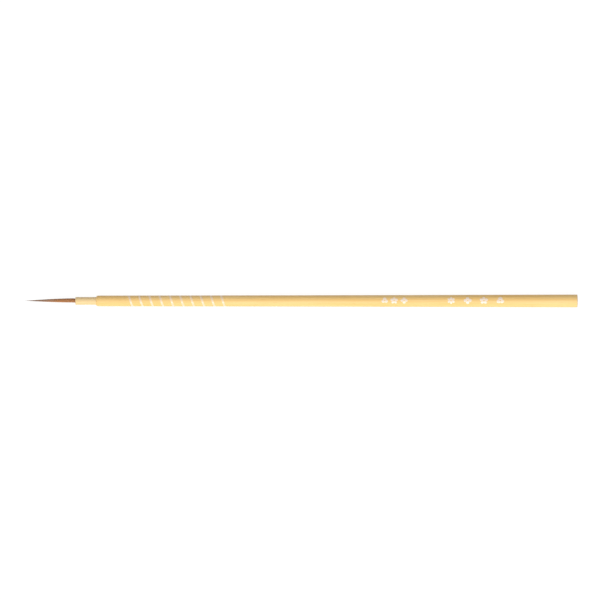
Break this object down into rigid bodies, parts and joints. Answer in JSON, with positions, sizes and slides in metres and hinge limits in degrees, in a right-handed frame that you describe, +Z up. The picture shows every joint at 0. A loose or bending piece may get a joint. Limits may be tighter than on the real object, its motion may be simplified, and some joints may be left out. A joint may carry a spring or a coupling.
{
  "type": "fine detail brush",
  "caption": "Slender detail brush: a long pointed hair tuft in a thin bamboo neck, set in a round bamboo shaft with a white spiral line.",
  "frame": {"origin": "centre of the footprint, on the surface that the brush lies on", "axes": "+X along the brush from the hair to the butt, +Z up, +Y to the side"},
  "size_m": [0.205, 0.0048, 0.0048],
  "materials": {
    "shaft_bamboo": "thin satin varnish over fine lengthwise bamboo fibre",
    "neck_bamboo": "satin, slightly paler and duller than the shaft",
    "glue": "clear amber adhesive, glossy",
    "seared_hair": "hair ends fused hard and dark",
    "thread": "undyed twisted thread",
    "hair_core": "straight brown hair, soft sheen",
    "hair_coat": "fine reddish brown hair lying along the tuft, soft sheen",
    "white_lacquer": "thin white lacquer, satin"
  },
  "bodies": {
    "handle": {"main_shaft": "shaft_bamboo", "neck_tube": "neck_bamboo", "neck_adhesive": "glue", "tuft_adhesive": "glue", "root_seal": "seared_hair", "binding_thread": "thread", "spiral_line": "white_lacquer"},
    "tuft": {"life_hairs": "hair_core", "belly_hairs": "hair_core", "waist_hairs": "hair_core", "dressing_hairs": "hair_coat"}
  },
  "joints": [
    {"name": "tuft_bend", "type": "hinge", "parent": "handle", "child": "tuft", "pos_m": [-0.0835, 0, 0.00204], "axis": [0, 0, 1], "range_deg": [-40, 40], "stiffness_Nm_per_rad": 0.0006, "deforming": ["life_hairs", "belly_hairs", "waist_hairs", "dressing_hairs"]}
  ]
}
